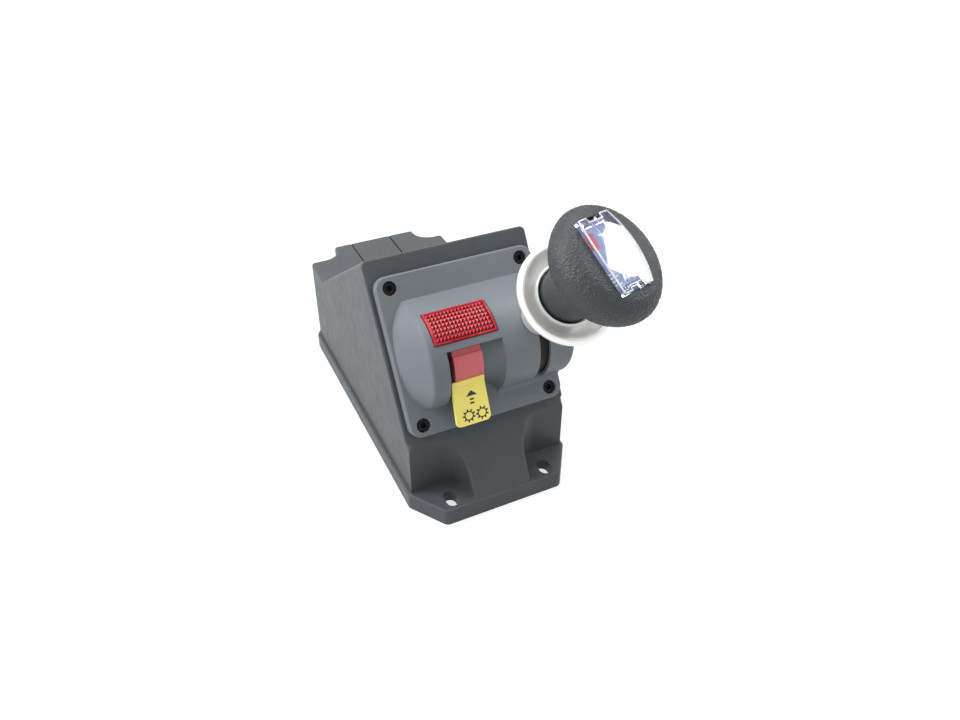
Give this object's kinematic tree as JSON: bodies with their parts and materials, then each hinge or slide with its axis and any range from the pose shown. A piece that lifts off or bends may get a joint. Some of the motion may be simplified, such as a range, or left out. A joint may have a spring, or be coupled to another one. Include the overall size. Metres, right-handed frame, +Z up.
{
  "type": "lever control valve",
  "caption": "Sloped control housing with a lift-collar lever and round knob, red indicator window, yellow take-off tab and the air valve the lever works",
  "frame": {"origin": "centre of the mounting face, under the middle of the flange", "axes": "+X across the housing to the lever's side, +Y from the lever to the rear, +Z up off the mounting face"},
  "size_m": [0.1027, 0.2602, 0.1774],
  "materials": {
    "housing_plastic": "fine textured dark grey moulding",
    "cover_plastic": "satin slate grey moulding",
    "rubber_black": "soft black rubber",
    "black_steel": "black oxide steel",
    "brass": "turned brass",
    "red_lens": "clear red moulding with small prisms",
    "board_green": "glass fibre circuit board",
    "lamp_red": "clear red resin",
    "bright_steel": "ground steel",
    "spring_steel": "drawn spring steel",
    "bronze": "sintered bronze",
    "zinc_steel": "folded sheet with bright zinc",
    "zinc_screw": "bright zinc screws",
    "cast_aluminium": "machined aluminium block",
    "nickel_brass": "nickel plated brass",
    "blue_plastic": "acetal release rings",
    "switch_black": "black moulding",
    "tin_blade": "tinned blades",
    "drum_black": "smooth black moulding",
    "knob_black": "leather grained black moulding",
    "label_blue": "printed label in plain patches",
    "cap_clear": "clear polished moulding",
    "collar_aluminium": "turned satin aluminium",
    "drum_red": "salmon red moulding",
    "tab_yellow": "satin yellow moulding with black plain signs"
  },
  "bodies": {
    "base": {"housing": "housing_plastic", "cover": "cover_plastic", "cover_gasket": "rubber_black", "cover_screws": "black_steel", "cover_inserts": "brass", "indicator_lens": "red_lens", "lamp_board": "board_green", "indicator_lamp": "lamp_red", "pivot_shaft": "bright_steel", "shaft_clips": "spring_steel", "shaft_bushes": "bronze", "mech_frame": "zinc_steel", "frame_screws": "zinc_screw", "plunger_guides": "bronze", "valve_block": "cast_aluminium", "valve_screws": "zinc_screw", "spool_plugs": "brass", "air_fittings": "nickel_brass", "fitting_collets": "blue_plastic", "pressure_switch": "switch_black", "switch_terminals": "tin_blade", "detent_plate": "spring_steel", "detent_rivets": "zinc_screw"},
    "lever": {"lever_drum": "drum_black", "lever_cam": "bright_steel", "cam_pins": "bright_steel", "rod_pin": "bright_steel", "lever_rod": "bright_steel", "knob_body": "knob_black", "knob_insert": "brass", "label_plate": "label_blue", "knob_cap": "cap_clear"},
    "collar": {"lock_collar": "collar_aluminium", "collar_pin": "bright_steel", "collar_spring": "spring_steel"},
    "pto": {"pto_drum": "drum_red", "pto_cam": "bright_steel", "pto_tab": "tab_yellow"},
    "tipping_spool": {"lever_plunger": "bright_steel", "lever_plunger_spring": "spring_steel"},
    "pto_spool": {"pto_plunger": "bright_steel", "pto_plunger_spring": "spring_steel"}
  },
  "joints": [
    {"name": "lever_pivot", "type": "hinge", "parent": "base", "child": "lever", "pos_m": [0.0295, -0.06217, 0.08064], "axis": [1, 0, 0], "range_deg": [-18, 52]},
    {"name": "collar_lift", "type": "slide", "parent": "lever", "child": "collar", "axis": [0, -0.6678, 0.7443], "range_m": [0, 0.006], "stiffness_N_per_m": 900, "springref_m": -0.004, "deforming": ["collar_spring"]},
    {"name": "pto_pivot", "type": "hinge", "parent": "base", "child": "pto", "pos_m": [-0.0122, -0.06217, 0.08064], "axis": [-1, 0, 0], "range_deg": [0, 38]},
    {"name": "tipping_spool_slide", "type": "slide", "parent": "base", "child": "tipping_spool", "axis": [0, 0.8443, -0.5358], "range_m": [-0.0019, 0.0055], "deforming": ["lever_plunger_spring"]},
    {"name": "pto_spool_slide", "type": "slide", "parent": "base", "child": "pto_spool", "axis": [0, 0.8443, -0.5358], "range_m": [0, 0.0034], "deforming": ["pto_plunger_spring"]}
  ],
  "couplings": [
    {"joint": "tipping_spool_slide", "follows": "lever_pivot", "m_per_rad": 0.006},
    {"joint": "pto_spool_slide", "follows": "pto_pivot", "m_per_rad": 0.005}
  ]
}
